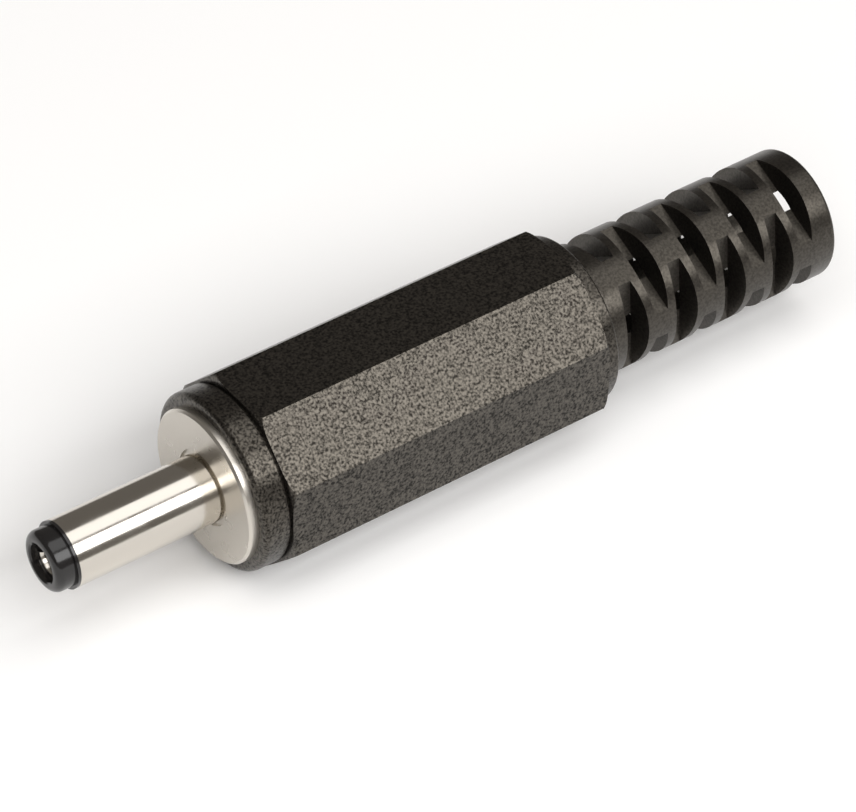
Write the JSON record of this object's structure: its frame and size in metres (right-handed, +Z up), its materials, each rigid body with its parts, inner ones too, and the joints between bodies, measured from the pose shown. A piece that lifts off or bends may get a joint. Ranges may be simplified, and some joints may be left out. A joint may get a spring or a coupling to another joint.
{
  "type": "dc barrel plug",
  "caption": "Straight DC power plug: plated sleeve round a sprung centre contact, flange stop, screw-on octagonal cover and slotted strain relief.",
  "frame": {"origin": "on the plug's axis, in the plane of the flange's front face", "axes": "+X along the plug's axis from the tip towards the cable end, +Z up, square to the cover's flat that the plug lies on"},
  "size_m": [0.0453, 0.0096, 0.0096],
  "materials": {
    "cover_plastic": "black, fine spark-eroded texture",
    "flange_plate": "satin nickel plate on turned brass",
    "sleeve_plate": "bright nickel plate on brass tube",
    "tip_plastic": "black, polished",
    "contact_plate": "bright nickel plate on spring bronze",
    "bush_plastic": "natural moulded nylon",
    "tag_plate": "tinned brass sheet"
  },
  "bodies": {
    "core": {"flange_boss": "flange_plate", "sleeve": "sleeve_plate", "tip_insulator": "tip_plastic", "centre_contact": "contact_plate", "rear_insulator": "bush_plastic", "centre_tag": "tag_plate", "earth_tag": "tag_plate"},
    "cover": {"cover": "cover_plastic"}
  },
  "joints": [
    {"name": "cover_unscrew", "type": "slide", "parent": "core", "child": "cover", "axis": [1, 0, 0], "range_m": [0, 0.03]}
  ]
}
